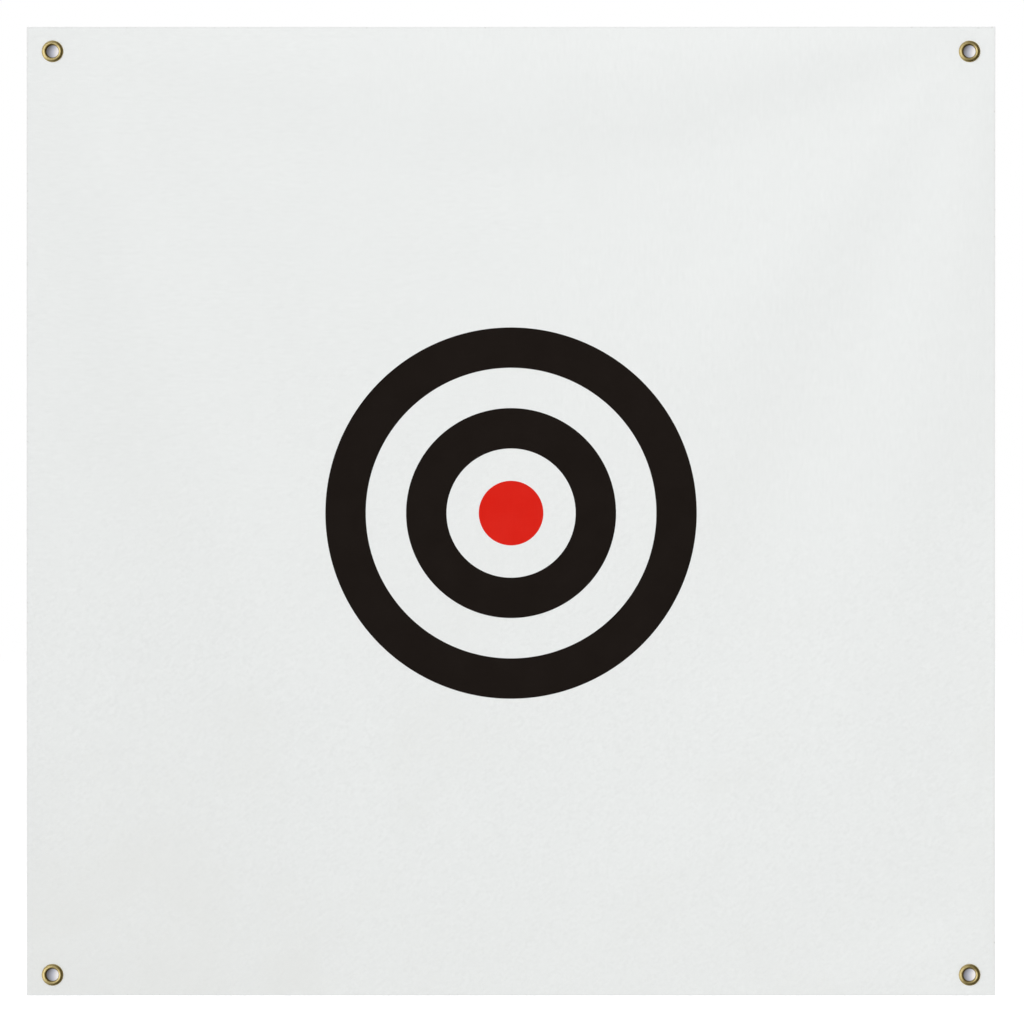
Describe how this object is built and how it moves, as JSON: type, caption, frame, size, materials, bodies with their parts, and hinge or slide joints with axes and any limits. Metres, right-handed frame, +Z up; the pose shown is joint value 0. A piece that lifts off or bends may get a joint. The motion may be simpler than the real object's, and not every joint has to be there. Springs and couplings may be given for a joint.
{
  "type": "golf practice target cloth",
  "caption": "Square white woven target cloth with a black and red bullseye print and a clinched brass eyelet in each corner for hanging.",
  "frame": {"origin": "centre of the four eyelets and of the bullseye, on the cloth's rear face", "axes": "+Z up along the cloth, +X to the right as the print is seen, +Y out of the rear face, so the printed front faces -Y"},
  "size_m": [1.5, 0.0061, 1.5],
  "materials": {
    "cloth": "matt white plain-woven canvas, heat-sealed at the cut edges",
    "ink_black": "matt warm-black textile ink over the weave",
    "ink_red": "matt red textile ink over the weave",
    "brass": "lightly tarnished rolled brass, brighter on the bead's crest"
  },
  "bodies": {
    "root": {"target_cloth": "cloth", "outer_ring_print": "ink_black", "inner_ring_print": "ink_black", "bullseye_print": "ink_red", "eyelet_top_left": "brass", "eyelet_top_right": "brass", "eyelet_bottom_left": "brass", "eyelet_bottom_right": "brass", "washer_top_left": "brass", "washer_top_right": "brass", "washer_bottom_left": "brass", "washer_bottom_right": "brass"}
  },
  "joints": []
}
